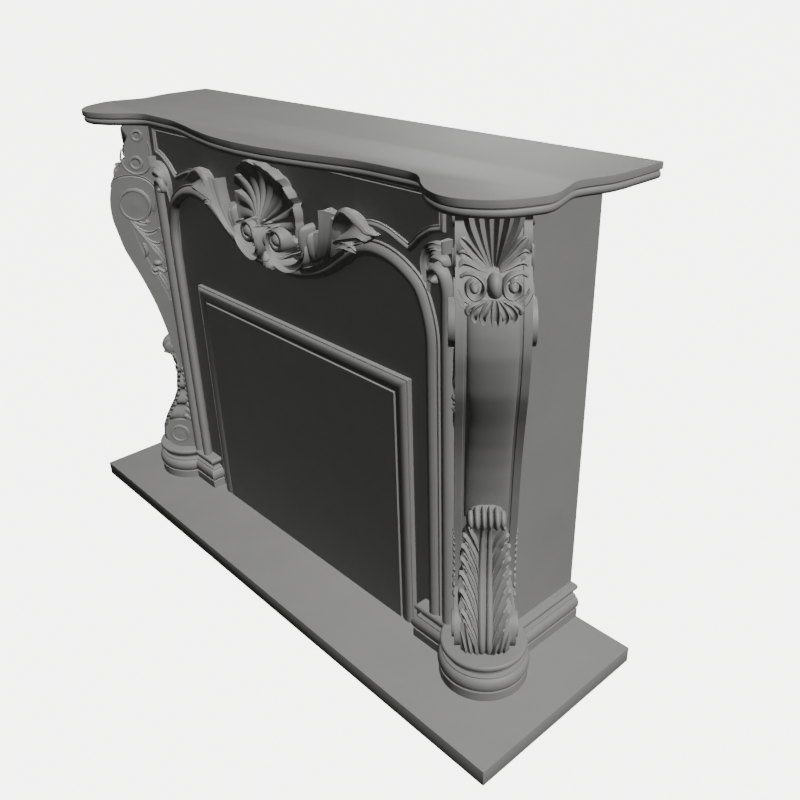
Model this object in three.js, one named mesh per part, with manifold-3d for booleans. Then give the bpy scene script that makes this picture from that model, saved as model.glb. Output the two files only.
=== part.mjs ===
// A carved stone fireplace: hearth slab, moulded plinths, canted scrolled consoles, a carved front with
// a shaped arch and a shell cartouche, a framed fire panel and a shaped mantel shelf.
// Millimetres, +Z up, the front facing -Y. Pieces are drawn from the wall, which is the plane y = 0,
// and the whole fireplace is then moved so that its origin is the middle of its underside.

import * as THREE from 'three';
import { mergeVertices } from 'three/addons/utils/BufferGeometryUtils.js';
import Module from 'manifold-3d';

const wasm = await Module();
wasm.setup();

// Driving dimensions

const seam = 0.3;

// The wall planes of the body: half its width, its front face, the cut of its canted corners.
const body = { halfWidth: 671, frontDepth: 317, cornerCut: 94, height: 1009.5, slab: 30 };

const hearth = { sideMargin: 179, frontMargin: 194, height: 41.4 };

const plinth = {
  height: 96.6,
  innerInset: 94,
  lobe: { outFromCorner: 39, radius: 79.5, steps: 8 },
  // How far the moulding stands out from the wall planes, and its height over the hearth.
  profile: [
    [23.5, 0], [23.5, 24], [20.5, 25.5], [25.5, 34], [27, 43], [25.5, 52], [17.7, 60],
    [15.6, 64], [8.9, 66.7], [17.6, 81.6], [21.1, 88.6], [20.1, 93.4], [8.8, 96.6],
  ],
};

const shelf = {
  thickness: 33.1,
  sideOverhang: 126,
  frontOverhang: 100,
  spans: 48,
  // Half of the plan, from the middle of the front to the wall, as shares of half the width and of
  // the depth.
  plan: [
    [0, 1], [0.126, 0.986], [0.251, 0.945], [0.376, 0.892], [0.454, 0.867], [0.552, 0.861],
    [0.634, 0.862], [0.68, 0.897], [0.731, 0.976], [0.778, 1.031], [0.834, 1.062], [0.893, 1.043],
    [0.957, 0.954], [0.996, 0.811], [1, 0.727], [0.986, 0.638], [0.97, 0.544], [0.972, 0.484],
    [0.994, 0.355], [1, 0.264],
  ],
  // The edge from the top down: how far it is set back, and its depth under the top.
  edge: [[0, 0], [0, 14], [4, 15], [2.5, 21], [5, 28], [12, 33.1]],
};

const tympanum = { recess: 15, slab: 30 };

const fireFrame = {
  sideMargin: 26.9,
  height: 678.6,
  // Across the frame from its inner edge, and how far it stands out from the tympanum.
  section: [
    [0, 0], [0, 11], [2, 13], [10, 15.5], [20, 17.5], [27, 17.5], [33, 15], [37.5, 9], [38.5, 8],
    [39.5, 12.5], [42, 12], [42, 0],
  ],
};

const firePanel = { relief: 16, thickness: 30, rebate: 12 };

const arch = {
  // How far in from the corner of the front the middle of the roll runs down each jamb.
  legInset: 59,
  // The line that the roll follows, from the leg over the haunch to the middle: share of the leg's
  // distance from the middle, and drop under the shelf.
  curve: [
    [1, 348], [0.979, 253], [0.938, 206], [0.876, 180], [0.786, 159], [0.68, 152], [0.579, 163],
    [0.483, 192], [0.396, 222], [0.319, 242], [0.251, 254], [0.06, 270],
  ],
  pointsPerKnot: 2,
  openingEdge: -1.5,
  // Across the moulding from that line outwards, and how far it stands out from the tympanum.
  section: [
    [-1.5, -2], [-1.5, 0], [-12, 8], [-17, 17], [-12, 27.5], [-3.5, 30], [4, 27.5], [11, 20.5],
    [18, 20], [18, 13],
  ],
};

// The beading round the frieze: the outer line of its fillet, from behind the acanthus along the arch,
// round the corner ornament and up to the shelf, given as the line of the arch is.
const beading = {
  curve: [
    [0.579, 103], [0.668, 94], [0.749, 98], [0.811, 108], [0.873, 120], [0.9, 108], [0.923, 96],
    [0.959, 83], [0.994, 73], [1.039, 67], [1.039, 19],
  ],
  section: [[0, -2], [0, 5], [3.5, 3.5], [8, 8], [13, 6], [15.5, -2]],
};

// Carving on an upright face is made of ribs, which start this far under the face. A rib is a list of
// stations: across, drop under the shelf, half its width, and how far it stands out. It is rounded,
// and tapers from one station to the next.
const sink = 2;

// The stem that runs up each jamb and curls over. Its stations are across from the middle of the shaft.
const stem = {
  inset: 18,
  halfWidth: 16,
  relief: 17,
  shaftTop: 198,
  head: [
    [0, 208, 16, 17], [-2, 174, 15, 18], [-10, 154, 13, 21], [-27, 152, 10, 22], [-37, 174, 7, 20],
  ],
  eye: [-29, 180, 9, 24],
  leaves: [
    [[-10, 156, 11, 14], [-19, 128, 9, 20], [-39, 112, 5, 16], [-51, 118, 2, 8]],
    [[-3, 158, 10, 13], [1, 123, 9, 22], [-3, 98, 7, 24], [-13, 94, 3, 16]],
    [[-23, 148, 8, 10], [-43, 136, 8, 14], [-57, 144, 3, 10]],
    [[-31, 148, 7, 8], [-51, 163, 6, 10], [-56, 198, 4, 8], [-50, 233, 2, 5]],
  ],
};

// A scallop shell that leans forward: its rim is further out, and stands out more, at the top.
const shell = {
  footDrop: 163,
  flutes: 10,
  lowestAngle: -8,
  sideRadius: 112,
  topRadius: 143,
  sideRelief: 33,
  topRelief: 60,
  fluteRelief: 5,
  // Along a flute from the foot to the rim: share of the radius, how far it stands out there, and the
  // share of the rim's relief that is added to it.
  dish: [[0.1, 40, 0], [0.35, 17, 0], [0.65, 8, 0.15], [0.9, 0, 0.7], [1, 0, 1]],
};

// What is carved under and beside the shell, on the right of the middle line and mirrored on the left.
const cartouche = {
  coil: [59, 190, 36, 42],
  eye: [59, 190, 21, 55],
  coilFacets: 8,
  scrolls: [
    [[79, 136, 5, 36], [108, 162, 8, 40], [115, 200, 8, 42], [96, 234, 9, 44], [59, 247, 9, 46],
      [22, 234, 8, 46], [4, 205, 4, 44]],
    [[128, 148, 11, 32], [148, 158, 14, 42], [156, 198, 15, 42], [132, 238, 8, 28]],
    [[160, 164, 8, 26], [174, 190, 9, 30], [150, 246, 6, 22]],
  ],
  leaves: [
    [[168, 228, 9, 24], [188, 168, 9, 28], [192, 100, 7, 34]],
    [[180, 230, 9, 24], [211, 166, 10, 30], [216, 95, 8, 36]],
    [[190, 228, 9, 20], [226, 186, 12, 26], [254, 126, 13, 32], [292, 86, 12, 41], [350, 88, 5, 30]],
    [[200, 222, 9, 20], [254, 174, 13, 27], [312, 116, 13, 34], [354, 100, 9, 34], [378, 112, 4, 26]],
    [[210, 218, 8, 18], [286, 165, 9, 31], [346, 144, 3, 28]],
    [[196, 236, 7, 16], [268, 190, 9, 31], [324, 170, 3, 28]],
  ],
  beads: { first: [14, 149], last: [46, 157], count: 3, radius: 7, relief: 50, facets: 6 },
  pendant: { drop: 244, length: 44, lobes: 5, spread: 100, halfWidths: [5, 7], reliefs: [36, 38] },
  boss: { drop: 208, halfWidth: 22, halfHeight: 31, relief: 47 },
};

// A console is drawn by its reach out from the canted corner that it stands on, and by its height as a
// share of the height of the body.
const bracket = {
  sideOverlap: 1.35,
  bandWidth: 16,
  volutes: {
    top: { reach: 34.8, height: 0.965, radius: 17, relief: 5, facets: 8 },
    middle: { reach: 50.5, height: 0.885, radius: 18.4, relief: 5, facets: 8 },
    main: { reach: 68.8, height: 0.78, radius: 45.9, relief: 12.7, facets: 14 },
    foot: { reach: 50.3, height: 0.049, radius: 22, relief: 5, facets: 8 },
  },
  footVolute: { radius: 48.5, sweep: 210, steps: 6 },
  // The front edge from the foot volute up to the shelf.
  edge: [
    [14.8, 0.106], [10.8, 0.18], [15.8, 0.269], [28.8, 0.33], [35.8, 0.385], [51.8, 0.457],
    [74.8, 0.531], [99.8, 0.595], [124.8, 0.656], [138.8, 0.711], [142.8, 0.76],
    [136.8, 0.81], [124.8, 0.843], [108.8, 0.87], [90.8, 0.892], [75.8, 0.912], [72.8, 0.938],
    [64.8, 0.96], [66.8, 0.976], [71.8, 1],
  ],
  fieldDrop: 7,
  swell: { foot: 0.359, head: 0.78, spans: 5, halfWidth: 34, relief: 9 },
  sideField: { drop: 6, margin: 37, foot: 0.497, head: 0.745, slope: 0.037, spans: 5, back: 8.8 },
  // A fan of ribs. Each has stations at a share of its length, with half its width and its relief.
  palmette: {
    foot: 0.884, height: 108, halfWidth: 60, ribs: 7, openingAngle: 140, base: 67.8,
    stations: [[0.15, 4, 32], [1, 10, 26]],
  },
  cabochon: { reach: 102.8, height: 0.866, halfWidth: 15, halfHeight: 23, relief: 26 },
  // Over the main volute, a scroll and a crescent on each side.
  scrollBase: 105.8,
  scrollEye: [30, 0.862, 10, 20],
  scroll: [
    [44, 0.881, 4, 8], [26, 0.883, 6, 16], [13, 0.864, 6, 19], [28, 0.84, 7, 22], [62, 0.848, 3, 12],
  ],
  // Under them, a small hanging leaf.
  leafBase: 129.8,
  smallLeaf: [
    [[0, 0.844, 5, 6], [0, 0.82, 6, 16], [0, 0.798, 3, 18]],
    [[7, 0.842, 4, 4], [16, 0.822, 6, 14], [18, 0.806, 4, 14]],
    [[14, 0.84, 4, 4], [32, 0.824, 6, 12], [38, 0.812, 4, 10]],
  ],
  // The leaf over the foot, from its knob down: height, reach of its middle, half its width.
  leaf: [
    [0.372, 47.8, 16], [0.359, 67.8, 34], [0.337, 73.8, 38], [0.315, 63.8, 30], [0.299, 51.8, 22],
    [0.274, 43.8, 48], [0.245, 43.8, 43], [0.21, 46.8, 55], [0.178, 52.8, 48], [0.141, 70.8, 58],
    [0.109, 88.8, 51], [0.066, 107.8, 58], [0.027, 113.8, 53], [0.003, 100.8, 46],
  ],
  leafEdgeDrop: 12,
  leafGrooveDrop: 4,
};

const plinthTop = hearth.height + plinth.height;
const bodyTop = plinthTop + body.height;
const frontHalfWidth = body.halfWidth - body.cornerCut;
const archHalfWidth = frontHalfWidth - arch.legInset;
const cornerReach = (frontHalfWidth + body.frontDepth) / Math.SQRT2;
const cornerOffset = (frontHalfWidth - body.frontDepth + body.cornerCut) / Math.SQRT2;
const tympanumDepth = body.frontDepth - tympanum.recess;
const plinthInner = frontHalfWidth - plinth.innerInset;
const frameWidth = Math.max(...fireFrame.section.map(([across]) => across));
const plinthReach = plinth.profile[0][0];
const frameInner = plinthInner - plinthReach - fireFrame.sideMargin - frameWidth;
const frameTop = hearth.height + fireFrame.height - frameWidth;

// Geometry helpers

function vectors(pairs) {
  return pairs.map(([x, y]) => new THREE.Vector2(x, y));
}

// A point on an upright face: across, up, and the depth in front of the wall.
function at(x, z, depth) {
  return new THREE.Vector3(x, -depth, z);
}

function signedVolume(positions, index) {
  const corner = (i) => new THREE.Vector3().fromArray(positions, index[i] * 3);
  let volume = 0;
  for (let i = 0; i < index.length; i += 3) {
    volume += corner(i).dot(corner(i + 1).cross(corner(i + 2))) / 6;
  }
  return volume;
}

// A closed solid between rings of points, one after another, with the first and last filled in. The
// flat outline has the same points in the plane and says how the two ends are filled.
function loft(rings, flat) {
  const count = flat.length;
  const last = (rings.length - 1) * count;
  const index = [];
  for (let ring = 0; ring < last; ring += count) {
    for (let i = 0; i < count; i += 1) {
      const a = ring + i;
      const b = ring + ((i + 1) % count);
      index.push(a, b, b + count, a, b + count, a + count);
    }
  }
  const turn = Math.sign(THREE.ShapeUtils.area(flat));
  for (const [a, b, c] of THREE.ShapeUtils.triangulateShape(flat, [])) {
    const sameTurn = Math.sign(THREE.ShapeUtils.area([flat[a], flat[b], flat[c]])) === turn;
    const [p, q] = sameTurn ? [b, c] : [c, b];
    index.push(a, q, p, last + a, last + p, last + q);
  }
  const positions = rings.flat().flatMap((point) => point.toArray());
  if (signedVolume(positions, index) < 0) index.reverse();
  const geometry = new THREE.BufferGeometry();
  geometry.setAttribute('position', new THREE.Float32BufferAttribute(positions, 3));
  geometry.setIndex(index);
  return geometry;
}

// An outline of (across, up) made into an upright slab between two depths.
function uprightSlab(outline, backDepth, frontDepth) {
  const ring = (depth) => outline.map((point) => at(point.x, point.y, depth));
  return loft([ring(backDepth), ring(frontDepth)], outline);
}

// An outline of (across, depth) made into a block between two heights.
function standingBlock(outline, bottom, top) {
  const ring = (z) => outline.map((point) => at(point.x, z, point.y));
  return loft([ring(bottom), ring(top)], outline);
}

// An outline of (reach, up) made into a slab between two places across.
function sideSlab(outline, from, to) {
  const ring = (x) => outline.map((point) => at(x, point.y, point.x));
  return loft([ring(from), ring(to)], outline);
}

function solid(geometry) {
  const bare = geometry.clone();
  bare.deleteAttribute('normal');
  bare.deleteAttribute('uv');
  const merged = mergeVertices(bare, 1e-4);
  return new wasm.Manifold(new wasm.Mesh({
    numProp: 3,
    vertProperties: merged.getAttribute('position').array,
    triVerts: new Uint32Array(merged.index.array),
  }));
}

function join(geometries) {
  return wasm.Manifold.union(geometries.map(solid));
}

function geometryOf(manifold) {
  const mesh = manifold.getMesh();
  const geometry = new THREE.BufferGeometry();
  geometry.setAttribute('position', new THREE.Float32BufferAttribute(mesh.vertProperties, 3));
  geometry.setIndex(Array.from(mesh.triVerts));
  return geometry;
}

// The direction to the right of a path at each of its points, made longer where it turns a corner.
function mitres(path) {
  return path.map((point, i) => {
    const before = path[Math.max(i - 1, 0)];
    const after = path[Math.min(i + 1, path.length - 1)];
    const comingIn = point.clone().sub(before).normalize();
    const goingOut = after.clone().sub(point).normalize();
    if (i === 0) comingIn.copy(goingOut);
    if (i === path.length - 1) goingOut.copy(comingIn);
    const along = comingIn.clone().add(goingOut).normalize();
    return new THREE.Vector2(along.y, -along.x).divideScalar(along.dot(goingOut));
  });
}

function besidePath(path, distance) {
  const sides = mitres(path);
  return path.map((point, i) => point.clone().addScaledVector(sides[i], distance));
}

// A moulding run along a path on an upright face, its section laid to the right of the path.
function moulding(path, section, depth) {
  const sides = mitres(path);
  const rings = path.map((point, i) => section.map(([across, relief]) => at(
    point.x + sides[i].x * across,
    point.y + sides[i].y * across,
    depth + relief,
  )));
  return loft(rings, vectors(section));
}

function toTheLeft(section) {
  return section.map(([across, relief]) => [-across, relief]);
}

function halfRound(facets) {
  return Array.from({ length: facets + 1 }, (_, i) => {
    const angle = (Math.PI * i) / facets;
    return new THREE.Vector2(Math.cos(angle), Math.sin(angle));
  });
}

function rib(stations, depth, facets = 3) {
  const section = halfRound(facets);
  const path = vectors(stations);
  const sides = mitres(path);
  const rings = stations.map(([x, z, halfWidth, relief], i) => section.map((point) => at(
    x + sides[i].x * point.x * halfWidth,
    z + sides[i].y * point.x * halfWidth,
    depth - sink + point.y * (relief + sink),
  )));
  return loft(rings, section);
}

// A round button on an upright face, given as across, up, radius and relief. Its edge is cut back by
// shares of its radius.
const buttonEdge = { back: 0.3, inwards: 0.4 };

function button([x, z, radius, relief], depth, facets = 8) {
  const outline = vectors([
    [0, -sink],
    [radius, -sink],
    [radius, relief - radius * buttonEdge.back],
    [radius * (1 - buttonEdge.inwards), relief],
    [0, relief],
  ]);
  const geometry = new THREE.LatheGeometry(outline, facets);
  geometry.rotateX(Math.PI);
  return geometry.translate(x, -depth, z);
}

// A half egg on an upright face.
const eggFacets = { up: 3, around: 8 };

function eggBoss(x, z, depth, { halfWidth, halfHeight, relief }) {
  const dome = Array.from({ length: eggFacets.up }, (_, i) => {
    const angle = (Math.PI * i) / (2 * eggFacets.up);
    return new THREE.Vector2(Math.cos(angle), Math.sin(angle));
  });
  const under = -sink / relief;
  const outline = [...vectors([[0, under], [1, under]]), ...dome, new THREE.Vector2(0, 1)];
  const geometry = new THREE.LatheGeometry(outline, eggFacets.around);
  geometry.rotateX(Math.PI);
  geometry.scale(halfWidth, relief, halfHeight);
  return geometry.translate(x, -depth, z);
}

function mirrorList(lists) {
  return lists.map((stations) => stations.map(([x, ...rest]) => [-x, ...rest]));
}

function bothSides(lists) {
  return [...lists, ...mirrorList(lists)];
}

function mirrorPath(path) {
  return path.map((point) => new THREE.Vector2(-point.x, point.y));
}

// Places for what is carved on the front and on the consoles.

function underShelf(drop) {
  return bodyTop - drop;
}

function alongBody(share) {
  return plinthTop + share * body.height;
}

// Lists of stations on the front, moved across from the middle line and hung under the shelf.
function hung(lists, middle = 0) {
  return lists.map((stations) => stations.map(([x, drop, ...rest]) => [
    middle + x, underShelf(drop), ...rest,
  ]));
}

function raised(lists) {
  return lists.map((stations) => stations.map(([x, share, ...rest]) => [x, alongBody(share), ...rest]));
}

// Hearth slab

function hearthSlab() {
  const width = 2 * (body.halfWidth + hearth.sideMargin);
  const depth = body.frontDepth + hearth.frontMargin;
  const geometry = new THREE.BoxGeometry(width, depth, hearth.height);
  return geometry.translate(0, -depth / 2, hearth.height / 2);
}

// Plinth: a moulded block whose outline swells into a round lobe under the console

function plinthOutline(offset) {
  const { outFromCorner, radius, steps } = plinth.lobe;
  const lobeX = body.halfWidth - body.cornerCut / 2 + outFromCorner / Math.SQRT2;
  const lobeDepth = body.frontDepth - body.cornerCut / 2 + outFromCorner / Math.SQRT2;
  const reach = radius + offset;
  const front = body.frontDepth + offset;
  const side = body.halfWidth + offset;
  const fromAngle = Math.PI - Math.asin((front - lobeDepth) / reach);
  const toAngle = -Math.acos((side - lobeX) / reach);
  const lobe = Array.from({ length: steps + 1 }, (_, i) => {
    const angle = THREE.MathUtils.lerp(fromAngle, toAngle, i / steps);
    return [lobeX + reach * Math.cos(angle), lobeDepth + reach * Math.sin(angle)];
  });
  return vectors([
    [plinthInner + seam, 0],
    [plinthInner + seam, tympanumDepth + seam],
    [plinthInner - offset, tympanumDepth + seam],
    [plinthInner - offset, front],
    ...lobe,
    [side, 0],
  ]);
}

function plinthBlock() {
  const rings = plinth.profile.map(([offset, z]) => plinthOutline(offset)
    .map((point) => at(point.x, hearth.height + z, point.y)));
  return loft(rings, plinthOutline(plinthReach));
}

// Return: the side wall and the canted corner, as one slab with a turn in it

function returnSlab() {
  const outerX = body.halfWidth;
  const innerX = outerX - body.slab;
  const outerSum = outerX + body.frontDepth - body.cornerCut;
  const innerSum = outerSum - body.slab * Math.SQRT2;
  const outline = vectors([
    [outerX, 0],
    [outerX, outerSum - outerX],
    [frontHalfWidth, outerSum - frontHalfWidth],
    [frontHalfWidth, innerSum - frontHalfWidth],
    [innerX, innerSum - innerX],
    [innerX, 0],
  ]);
  return standingBlock(outline, plinthTop, bodyTop);
}

// Carved front: frieze and jambs with all the carving on them

// Knots given as a share of the arch's half-width and a drop under the shelf.
function archKnots(curve) {
  return vectors(curve.map(([share, drop]) => [share * archHalfWidth, underShelf(drop)]));
}

function archLine() {
  const knots = archKnots(arch.curve);
  const points = (knots.length - 1) * arch.pointsPerKnot;
  const bend = new THREE.SplineCurve(knots).getPoints(points);
  return [new THREE.Vector2(archHalfWidth, plinthTop), ...bend];
}

// The arch opening from the foot of the left jamb over the crown to the foot of the right one.
function openingOutline(clearance) {
  const right = besidePath(archLine(), arch.openingEdge - clearance);
  return [...mirrorPath(right), ...right.reverse()];
}

function frontSlab() {
  const outline = [
    ...vectors([
      [frontHalfWidth, plinthTop], [frontHalfWidth, bodyTop],
      [-frontHalfWidth, bodyTop], [-frontHalfWidth, plinthTop],
    ]),
    ...openingOutline(0),
  ];
  return uprightSlab(outline, body.frontDepth - body.slab, body.frontDepth);
}

function archMouldings() {
  const line = archLine();
  return [
    moulding(line, arch.section, tympanumDepth),
    moulding(mirrorPath(line), toTheLeft(arch.section), tympanumDepth),
  ];
}

function friezeBeading() {
  const right = archKnots(beading.curve);
  return moulding([...right, ...mirrorPath(right).reverse()], beading.section, body.frontDepth);
}

function spandrelOrnaments() {
  const { inset, halfWidth, relief, shaftTop, head, eye, leaves } = stem;
  const middle = frontHalfWidth - inset;
  const shaft = [plinthTop, underShelf(shaftTop)].map((z) => [middle, z, halfWidth, relief]);
  const carved = hung([head, ...leaves], middle);
  return [
    ...bothSides([shaft, ...carved]).map((stations) => rib(stations, body.frontDepth)),
    ...bothSides(hung([[eye]], middle)).map(([place]) => button(place, body.frontDepth)),
  ];
}

// The shell: a hollow fan of flutes round its foot, with an arris between each two.
function shellDish() {
  const { sideRadius, topRadius, sideRelief, topRelief, lowestAngle, flutes, fluteRelief, dish } = shell;
  const stops = flutes * 2;
  const lowest = THREE.MathUtils.degToRad(lowestAngle);
  const profile = [[dish[0][0], -sink, 0], ...dish, [1, -sink, 0]];
  const rings = Array.from({ length: stops + 1 }, (_, i) => {
    const angle = THREE.MathUtils.lerp(lowest, Math.PI - lowest, i / stops);
    const upward = Math.max(Math.sin(angle), 0);
    const radius = THREE.MathUtils.lerp(sideRadius, topRadius, upward);
    const rimRelief = THREE.MathUtils.lerp(sideRelief, topRelief, upward ** 3);
    const hollow = i % 2 ? fluteRelief : 0;
    return profile.map(([share, relief, rimShare]) => at(
      radius * share * Math.cos(angle),
      underShelf(shell.footDrop) + radius * share * Math.sin(angle),
      body.frontDepth + relief + rimShare * rimRelief - (relief < 0 ? 0 : hollow),
    ));
  });
  const flat = profile.map(([share, relief, rimShare]) => [share, relief + rimShare * sideRelief]);
  return loft(rings, vectors(flat));
}

function shellPendant() {
  const { drop, length, lobes, spread, halfWidths, reliefs } = cartouche.pendant;
  return Array.from({ length: lobes }, (_, i) => {
    const angle = THREE.MathUtils.degToRad(90 + spread * (i / (lobes - 1) - 0.5));
    return halfWidths.map((halfWidth, station) => {
      const reach = (length * station) / (halfWidths.length - 1);
      return [reach * Math.cos(angle), drop + reach * Math.sin(angle), halfWidth, reliefs[station]];
    });
  });
}

function beadRow() {
  const { first, last, count, radius, relief } = cartouche.beads;
  return Array.from({ length: count }, (_, i) => [
    THREE.MathUtils.lerp(first[0], last[0], i / (count - 1)),
    THREE.MathUtils.lerp(first[1], last[1], i / (count - 1)),
    radius,
    relief,
  ]);
}

function cartoucheCarving() {
  const { coil, eye, scrolls, leaves, beads, boss } = cartouche;
  const ribs = hung([...bothSides([...scrolls, ...leaves]), ...shellPendant()]);
  const rounds = hung(bothSides([[coil], [eye]]));
  const row = hung(bothSides([beadRow()]));
  return [
    shellDish(),
    ...ribs.map((stations) => rib(stations, body.frontDepth)),
    ...rounds.map(([place]) => button(place, body.frontDepth, cartouche.coilFacets)),
    ...row.flat().map((place) => button(place, body.frontDepth, beads.facets)),
    eggBoss(0, underShelf(boss.drop), body.frontDepth, boss),
  ];
}

function carvedFront() {
  return geometryOf(join([
    frontSlab(),
    ...archMouldings(),
    friezeBeading(),
    ...spandrelOrnaments(),
    ...cartoucheCarving(),
  ]));
}

// Tympanum: the board inside the arch, with the fire opening cut out of it

function tympanumBoard() {
  const openingHalfWidth = frameInner + firePanel.rebate;
  const openingTop = frameTop + firePanel.rebate;
  const outline = [
    ...openingOutline(seam),
    ...vectors([
      [plinthInner, plinthTop], [plinthInner, hearth.height],
      [openingHalfWidth, hearth.height], [openingHalfWidth, openingTop],
      [-openingHalfWidth, openingTop], [-openingHalfWidth, hearth.height],
      [-plinthInner, hearth.height], [-plinthInner, plinthTop],
    ]),
  ];
  return uprightSlab(outline, tympanumDepth - tympanum.slab, tympanumDepth);
}

// Fire frame, and the panel that closes the fire opening inside it

function frameMoulding() {
  const path = vectors([
    [-frameInner, hearth.height], [-frameInner, frameTop],
    [frameInner, frameTop], [frameInner, hearth.height],
  ]);
  return moulding(path, toTheLeft(fireFrame.section), tympanumDepth);
}

function firePanelBoard() {
  const halfWidth = frameInner - seam;
  const outline = vectors([
    [-halfWidth, hearth.height], [halfWidth, hearth.height],
    [halfWidth, frameTop - seam], [-halfWidth, frameTop - seam],
  ]);
  const front = tympanumDepth + firePanel.relief;
  return uprightSlab(outline, front - firePanel.thickness, front);
}

// Console: drawn facing forwards about its own middle plane, then turned to its corner

const bracketHalfWidth = body.cornerCut / Math.SQRT2 + bracket.sideOverlap;

// The reach of the console's front edge at a share of its height.
function edgeReach(share) {
  const { edge } = bracket;
  const above = edge.findIndex(([, height]) => height >= share);
  const [lowReach, low] = edge[above - 1];
  const [highReach, high] = edge[above];
  return THREE.MathUtils.mapLinear(share, low, high, lowReach, highReach);
}

function bracketOutline(drop) {
  const { volutes, footVolute, edge } = bracket;
  const { radius, sweep, steps } = footVolute;
  const foot = Array.from({ length: steps }, (_, i) => {
    const angle = THREE.MathUtils.degToRad((i * sweep) / steps - 90);
    return [
      volutes.foot.reach + (radius - drop) * Math.cos(angle),
      plinthTop + seam + radius * (1 + Math.sin(angle)),
    ];
  });
  return vectors([
    [seam, plinthTop + seam],
    ...foot,
    ...edge.map(([reach, share]) => [reach - drop, Math.min(alongBody(share), bodyTop - seam)]),
    [seam, bodyTop - seam],
  ]);
}

function voluteDisc({ reach, height, radius, relief, facets }) {
  const length = 2 * (bracketHalfWidth + relief);
  const geometry = new THREE.CylinderGeometry(radius, radius, length, facets);
  geometry.rotateZ(Math.PI / 2);
  return geometry.translate(0, -reach, alongBody(height));
}

function frontSwell() {
  const { foot, head, spans, halfWidth, relief } = bracket.swell;
  const section = vectors([[-1, -1], [-1, 0], [-0.5, 0.8], [0.5, 0.8], [1, 0], [1, -1]]);
  const rings = Array.from({ length: spans + 1 }, (_, i) => {
    const share = THREE.MathUtils.lerp(foot, head, i / spans);
    const ground = edgeReach(share) - bracket.fieldDrop;
    return section.map((point) => at(point.x * halfWidth, alongBody(share), ground + point.y * relief));
  });
  return loft(rings, section);
}

function sideFields() {
  const { drop, margin, foot, head, slope, spans, back } = bracket.sideField;
  const front = Array.from({ length: spans + 1 }, (_, i) => {
    const share = THREE.MathUtils.lerp(foot, head, i / spans);
    return [edgeReach(share) - margin, alongBody(share)];
  });
  const outline = vectors([[back, alongBody(foot)], ...front, [back, alongBody(head - slope)]]);
  const outer = bracketHalfWidth + drop;
  const inner = bracketHalfWidth - drop;
  return [sideSlab(outline, inner, outer), sideSlab(outline, -outer, -inner)];
}

function palmette() {
  const { foot, height, halfWidth, ribs, openingAngle, stations } = bracket.palmette;
  return Array.from({ length: ribs }, (_, i) => {
    const angle = THREE.MathUtils.degToRad(openingAngle * (i / (ribs - 1) - 0.5));
    const upright = height / Math.cos(angle);
    const length = Math.min(upright, halfWidth / Math.max(Math.abs(Math.sin(angle)), halfWidth / height));
    return stations.map(([share, wide, relief]) => [
      length * share * Math.sin(angle), alongBody(foot) + length * share * Math.cos(angle), wide, relief,
    ]);
  });
}

function footLeaf() {
  const { leaf, leafEdgeDrop, leafGrooveDrop } = bracket;
  const behind = seam + sink;
  const rings = leaf.map(([share, reach, halfWidth]) => [
    [-1, behind], [-1, reach - leafEdgeDrop], [-0.5, reach], [0, reach - leafGrooveDrop],
    [0.5, reach], [1, reach - leafEdgeDrop], [1, behind],
  ].map(([side, depth]) => at(side * halfWidth, alongBody(share), depth)));
  return loft(rings, vectors([[-1, 0], [-1, 2], [-0.5, 3], [0, 2.5], [0.5, 3], [1, 2], [1, 0]]));
}

function consoleBlock() {
  const { volutes, cabochon, palmette: fan, fieldDrop, bandWidth } = bracket;
  const half = bracketHalfWidth;
  const fieldEdge = half - bandWidth;
  const scrolls = raised(bothSides([bracket.scroll]));
  const carving = [
    ...palmette().map((stations) => rib(stations, fan.base)),
    ...scrolls.map((stations) => rib(stations, bracket.scrollBase)),
    ...raised(bothSides([[bracket.scrollEye]])).map(([eye]) => button(eye, bracket.scrollBase)),
    ...raised(bothSides(bracket.smallLeaf)).map((stations) => rib(stations, bracket.leafBase)),
    eggBoss(0, alongBody(cabochon.height), cabochon.reach, cabochon),
  ];
  const block = join([
    sideSlab(bracketOutline(fieldDrop), -fieldEdge - sink, fieldEdge + sink),
    sideSlab(bracketOutline(0), -half, -fieldEdge),
    sideSlab(bracketOutline(0), fieldEdge, half),
    frontSwell(),
    footLeaf(),
    ...carving,
  ]);
  const cut = sideFields().reduce((rest, field) => rest.subtract(solid(field)), block);
  const discs = Object.values(volutes).map((volute) => solid(voluteDisc(volute)));
  return geometryOf(discs.reduce((whole, disc) => whole.add(disc), cut));
}

// Mantel shelf: one shaped slab with a flat edge over a half-round

function shelfOutline(setBack) {
  const halfWidth = body.halfWidth + shelf.sideOverhang;
  const depth = body.frontDepth + shelf.frontOverhang;
  const knots = vectors(shelf.plan.map(([x, y]) => [x * halfWidth, y * depth]));
  const curve = new THREE.SplineCurve(knots).getPoints(shelf.spans / 2);
  const right = [...curve, new THREE.Vector2(halfWidth, 0)];
  const whole = [...mirrorPath(right).reverse(), ...right.slice(1)];
  const set = besidePath(whole, setBack);
  set[0].y = 0;
  set[set.length - 1].y = 0;
  return set;
}

function mantelShelf() {
  const rings = shelf.edge.map(([setBack, under]) => shelfOutline(setBack)
    .map((point) => at(point.x, bodyTop + shelf.thickness - under, point.y)));
  return loft(rings, shelfOutline(0));
}

// The fireplace

const honedStone = { roughness: 0.62, metalness: 0 };
const colours = { face: 0x8f8f8d, panel: 0x86868a, carving: 0x979795 };

function piece(name, geometry, colour) {
  geometry.computeVertexNormals();
  const material = new THREE.MeshStandardMaterial({ color: colour, ...honedStone });
  const mesh = new THREE.Mesh(geometry, material);
  mesh.name = name;
  return mesh;
}

function pairOf(name, makeGeometry, colour, place = () => {}) {
  return [['right', 1], ['left', -1]].map(([side, sign]) => {
    const mesh = piece(`${name}_${side}`, makeGeometry(), colour);
    mesh.scale.x = sign;
    place(mesh, sign);
    return mesh;
  });
}

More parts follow.
